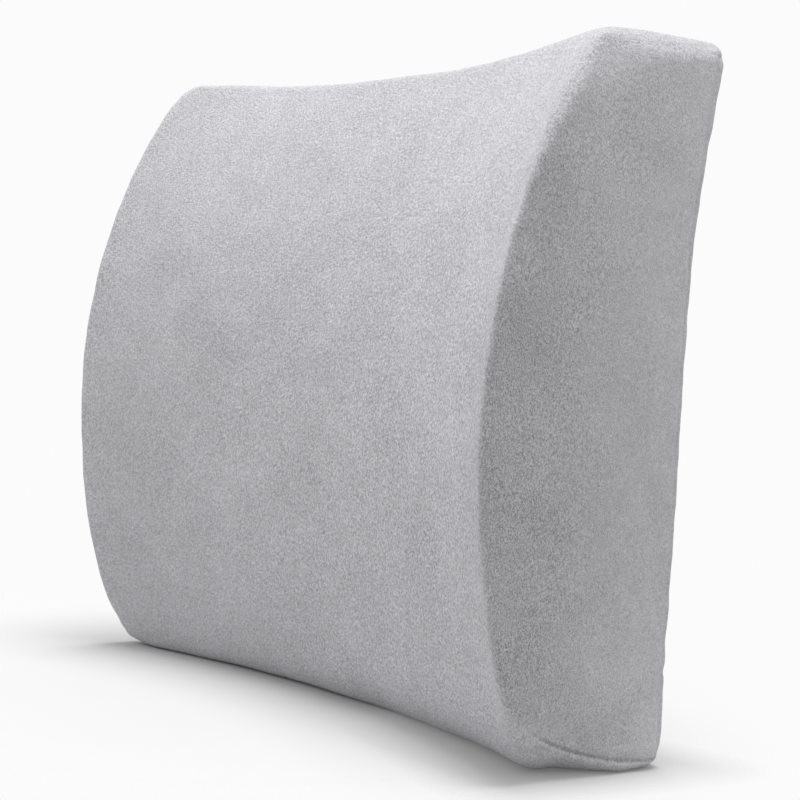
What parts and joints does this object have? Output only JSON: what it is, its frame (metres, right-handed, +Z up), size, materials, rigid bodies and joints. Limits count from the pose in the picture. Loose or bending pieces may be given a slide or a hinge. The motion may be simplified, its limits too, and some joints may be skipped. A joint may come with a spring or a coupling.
{
  "type": "lumbar support cushion",
  "caption": "Saddle-fronted foam back cushion in a zipped grey velour cover, with an elastic strap and side-release buckle behind.",
  "frame": {"origin": "centre of the bounding box at the level of the flat bottom", "axes": "+Z up, the saddle front faces -Y, the flat back and its strap face +Y, +X runs along the cushion's width"},
  "size_m": [0.332, 0.1185, 0.2995],
  "materials": {
    "velour": "short-pile grey velour",
    "lining": "thin white knitted lining",
    "zip_tape": "woven polyester tape",
    "webbing": "black ribbed elastic webbing",
    "label": "blank woven satin label",
    "foam": "open-cell polyurethane foam",
    "coil": "moulded nylon coil",
    "zip_metal": "painted zinc casting",
    "buckle": "black moulded acetal, fine texture"
  },
  "bodies": {
    "cushion": {"foam_core": "foam", "inner_liner": "lining", "cover_front_wrap": "velour", "cover_side_left": "velour", "cover_side_right": "velour", "cover_back_upper": "velour", "cover_back_lower": "velour", "zip_tape_upper": "zip_tape", "zip_tape_lower": "zip_tape", "zip_coil_upper": "coil", "zip_coil_lower": "coil", "zip_stop_start": "zip_metal", "zip_stop_end": "zip_metal", "strap_left": "webbing", "strap_right": "webbing", "buckle_socket": "buckle", "care_label": "label"},
    "zip_slider_body": {"zip_slider": "zip_metal"},
    "zip_pull_body": {"zip_pull": "zip_metal"},
    "plug_body": {"buckle_plug": "buckle", "strap_right_fold": "webbing"},
    "prong_upper_body": {"buckle_prong_upper": "buckle"},
    "prong_lower_body": {"buckle_prong_lower": "buckle"}
  },
  "joints": [
    {"name": "zip_slide", "type": "slide", "parent": "cushion", "child": "zip_slider_body", "axis": [-1, 0, 0], "range_m": [0, 0.262]},
    {"name": "zip_pull_hinge", "type": "hinge", "parent": "zip_slider_body", "child": "zip_pull_body", "pos_m": [0.132, 0.0511, 0.04], "axis": [0, 0, -1], "range_deg": [0, 172]},
    {"name": "plug_slide", "type": "slide", "parent": "cushion", "child": "plug_body", "axis": [1, 0, 0], "range_m": [0, 0.028], "deforming": ["strap_right"]},
    {"name": "prong_upper_flex", "type": "hinge", "parent": "plug_body", "child": "prong_upper_body", "pos_m": [0.0042, 0.05425, 0.164], "axis": [0, -1, 0], "range_deg": [0, 6], "stiffness_Nm_per_rad": 0.1},
    {"name": "prong_lower_flex", "type": "hinge", "parent": "plug_body", "child": "prong_lower_body", "pos_m": [0.0042, 0.05425, 0.134], "axis": [0, 1, 0], "range_deg": [0, 6], "stiffness_Nm_per_rad": 0.1}
  ],
  "couplings": [
    {"joint": "prong_lower_flex", "follows": "prong_upper_flex", "ratio": 1}
  ]
}
